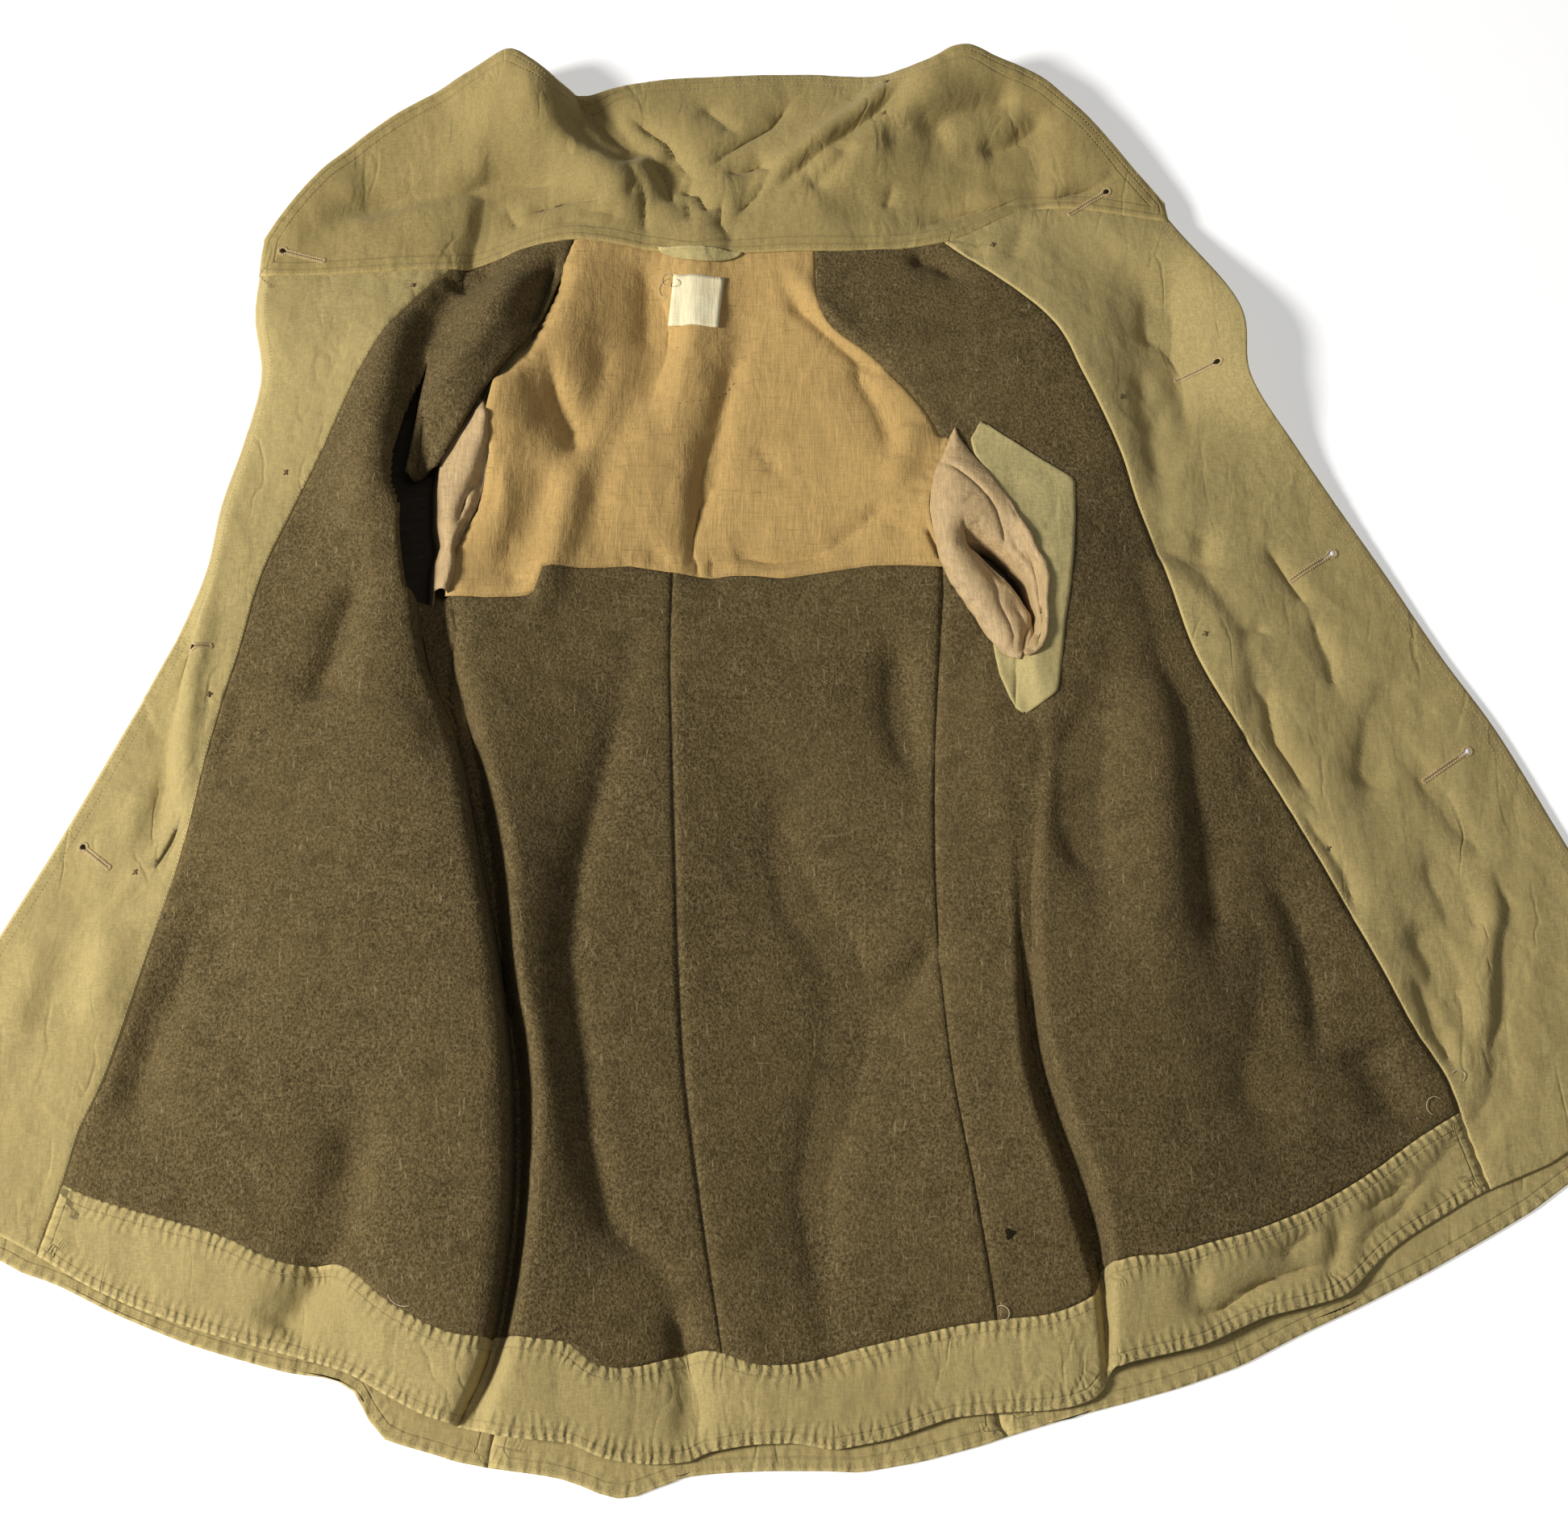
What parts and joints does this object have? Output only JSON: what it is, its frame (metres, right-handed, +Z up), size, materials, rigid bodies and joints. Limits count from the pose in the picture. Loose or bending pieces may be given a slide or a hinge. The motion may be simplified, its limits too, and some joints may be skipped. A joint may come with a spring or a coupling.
{
  "type": "mackinaw coat",
  "caption": "Wool-lined cotton field coat laid open on its face, lining side up, shawl-like collar at the top and open double-breasted fronts",
  "frame": {"origin": "middle of the coat's own box, on the surface it lies on", "axes": "+X across the coat to the picture's right, +Y from hem to collar, +Z up out of the lining"},
  "size_m": [1.0964, 0.9318, 0.0403],
  "materials": {
    "olive_wool": "brushed melange wool",
    "khaki_poplin": "matte cotton poplin",
    "tan_muslin": "matte slubby muslin",
    "pinkish_satin": "soft satin sheen",
    "cream_label": "matte woven tape",
    "brown_button": "semi-gloss"
  },
  "bodies": {
    "root": {"shell_front_left": "khaki_poplin", "shell_back": "khaki_poplin", "shell_front_right": "khaki_poplin", "facing_left": "khaki_poplin", "wool_front_left": "olive_wool", "yoke_lining": "tan_muslin", "wool_back_left": "olive_wool", "wool_back_right": "olive_wool", "wool_front_right": "olive_wool", "facing_right": "khaki_poplin", "hem_facing": "khaki_poplin", "sleeve_lining_right": "pinkish_satin", "sleeve_lining_left": "pinkish_satin", "sleeve_left": "khaki_poplin", "sleeve_right": "khaki_poplin", "collar": "khaki_poplin", "under_collar": "khaki_poplin", "pocket_patch": "khaki_poplin", "size_label": "cream_label", "hanger_loop": "khaki_poplin", "button_left_1": "brown_button", "button_left_2": "brown_button", "button_left_3": "brown_button", "button_left_4": "brown_button", "button_right_1": "brown_button", "button_right_2": "brown_button", "button_right_3": "brown_button", "button_right_4": "brown_button"}
  },
  "joints": []
}
